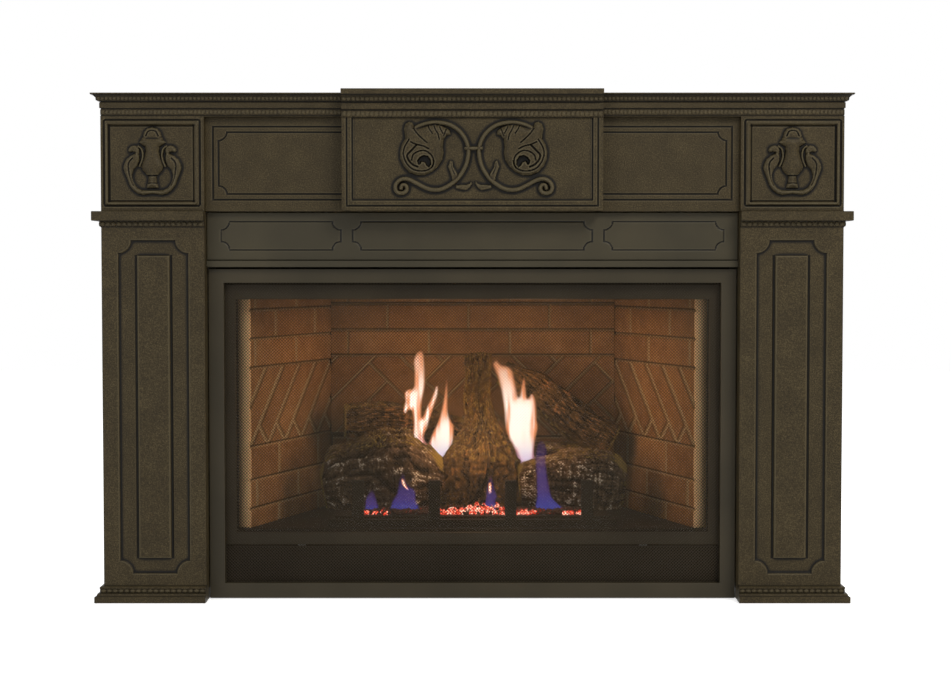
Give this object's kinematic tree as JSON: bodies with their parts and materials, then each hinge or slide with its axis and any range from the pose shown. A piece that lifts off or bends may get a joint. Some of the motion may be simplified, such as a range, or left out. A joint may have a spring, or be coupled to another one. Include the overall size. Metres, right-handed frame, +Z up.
{
  "type": "cast iron fireplace",
  "caption": "Gas fireplace insert with logs, brick liner and barrier screen behind an ornamental cast iron surround with pilasters, frieze and cornice.",
  "frame": {"origin": "on the floor, at the centre of the footprint", "axes": "+Z up, the front faces -Y, +X to the right of someone who looks at the front"},
  "size_m": [1.0826, 0.425, 0.7313],
  "materials": {
    "cast_iron": "bronze-brown stove paint on sand cast iron",
    "hood_steel": "satin dark bronze powder coat",
    "black_steel": "matt black stove paint",
    "screen_mesh": "black woven steel wire",
    "bare_steel": "aluminised sheet steel",
    "zinc_plate": "zinc plated",
    "brick": "moulded ceramic fibre in a brick pattern",
    "log": "charred ceramic fibre bark",
    "ember": "glowing mineral wool embers",
    "glass": "clear ceramic glass",
    "rope_seal": "braided glass fibre rope",
    "brass": "drawn brass",
    "black_plastic": "moulded phenolic",
    "red_plastic": "moulded",
    "white_ceramic": "glazed"
  },
  "bodies": {
    "surround": {"left_leg": "cast_iron", "right_leg": "cast_iron", "header": "cast_iron", "centre_block": "cast_iron", "left_joint_bolt": "zinc_plate", "right_joint_bolt": "zinc_plate", "hood_strip": "hood_steel", "front_flange": "black_steel", "casing_left": "bare_steel", "casing_right": "bare_steel", "casing_back": "bare_steel", "casing_base": "bare_steel", "casing_top": "bare_steel", "front_left_levelling_foot": "zinc_plate", "front_right_levelling_foot": "zinc_plate", "back_left_levelling_foot": "zinc_plate", "back_right_levelling_foot": "zinc_plate", "brick_back": "brick", "brick_left": "brick", "brick_right": "brick", "firebox_left": "black_steel", "firebox_right": "black_steel", "firebox_back": "black_steel", "firebox_floor": "black_steel", "firebox_top": "black_steel", "exhaust_collar": "bare_steel", "intake_collar": "bare_steel", "burner_tray": "black_steel", "grate": "black_steel", "rear_log": "log", "front_left_log": "log", "front_right_log": "log", "centre_log": "log", "upper_left_log": "log", "upper_right_log": "log", "ember_bed": "ember", "pilot_burner": "bare_steel", "thermopile": "bare_steel", "spark_electrode": "white_ceramic", "control_panel": "bare_steel", "gas_valve": "zinc_plate", "burner_tube": "brass", "fan_housing": "bare_steel", "fan_motor": "black_steel", "left_door_hinge": "black_steel", "right_door_hinge": "black_steel"},
    "screen": {"screen_frame": "hood_steel", "screen_mesh": "screen_mesh"},
    "glass_front": {"glass_frame": "black_steel", "glass_pane": "glass", "glass_gasket": "rope_seal"},
    "control_door": {"control_door": "black_steel"},
    "left_glass_latch": {"left_glass_latch": "zinc_plate"},
    "right_glass_latch": {"right_glass_latch": "zinc_plate"},
    "gas_knob_shaft": {"gas_knob_shaft": "zinc_plate"},
    "gas_knob": {"gas_knob": "black_plastic"},
    "flame_knob": {"flame_knob": "black_plastic"},
    "fan_speed_knob": {"fan_speed_knob": "black_plastic"},
    "igniter_button": {"igniter_button": "red_plastic"},
    "fan_wheel": {"fan_wheel": "zinc_plate"}
  },
  "joints": [
    {"name": "screen_pull", "type": "slide", "parent": "surround", "child": "screen", "axis": [0, -1, 0], "range_m": [0, 0.25]},
    {"name": "glass_tilt", "type": "hinge", "parent": "surround", "child": "glass_front", "pos_m": [0, -0.1261, 0.456], "axis": [-1, 0, 0], "range_deg": [0, 14.4]},
    {"name": "control_door_drop", "type": "hinge", "parent": "surround", "child": "control_door", "pos_m": [0, -0.132, 0.023], "axis": [1, 0, 0], "range_deg": [0, 80.5]},
    {"name": "left_latch_turn", "type": "hinge", "parent": "surround", "child": "left_glass_latch", "pos_m": [-0.25, -0.1235, 0.07], "axis": [0, 1, 0], "range_deg": [0, 75]},
    {"name": "right_latch_turn", "type": "hinge", "parent": "surround", "child": "right_glass_latch", "pos_m": [0.25, -0.1235, 0.07], "axis": [0, -1, 0], "range_deg": [0, 75]},
    {"name": "gas_knob_push", "type": "slide", "parent": "surround", "child": "gas_knob_shaft", "axis": [0, 1, 0], "range_m": [0, 0.004], "stiffness_N_per_m": 400},
    {"name": "gas_knob_turn", "type": "hinge", "parent": "gas_knob_shaft", "child": "gas_knob", "pos_m": [0.215, -0.105, 0.048], "axis": [0, -1, 0], "range_deg": [0, 180]},
    {"name": "flame_knob_turn", "type": "hinge", "parent": "surround", "child": "flame_knob", "pos_m": [0.158, -0.105, 0.048], "axis": [0, -1, 0], "range_deg": [0, 110]},
    {"name": "fan_speed_knob_turn", "type": "hinge", "parent": "surround", "child": "fan_speed_knob", "pos_m": [0.05, -0.105, 0.048], "axis": [0, 1, 0], "range_deg": [0, 270]},
    {"name": "igniter_press", "type": "slide", "parent": "surround", "child": "igniter_button", "axis": [0, 1, 0], "range_m": [0, 0.006], "stiffness_N_per_m": 300},
    {"name": "fan_spin", "type": "hinge", "parent": "surround", "child": "fan_wheel", "pos_m": [-0.21, 0.1305, 0.054], "axis": [1, 0, 0], "continuous": true}
  ],
  "couplings": [
    {"joint": "glass_tilt", "follows": "screen_pull", "rad_per_m": 1},
    {"joint": "control_door_drop", "follows": "screen_pull", "rad_per_m": 5.6}
  ]
}
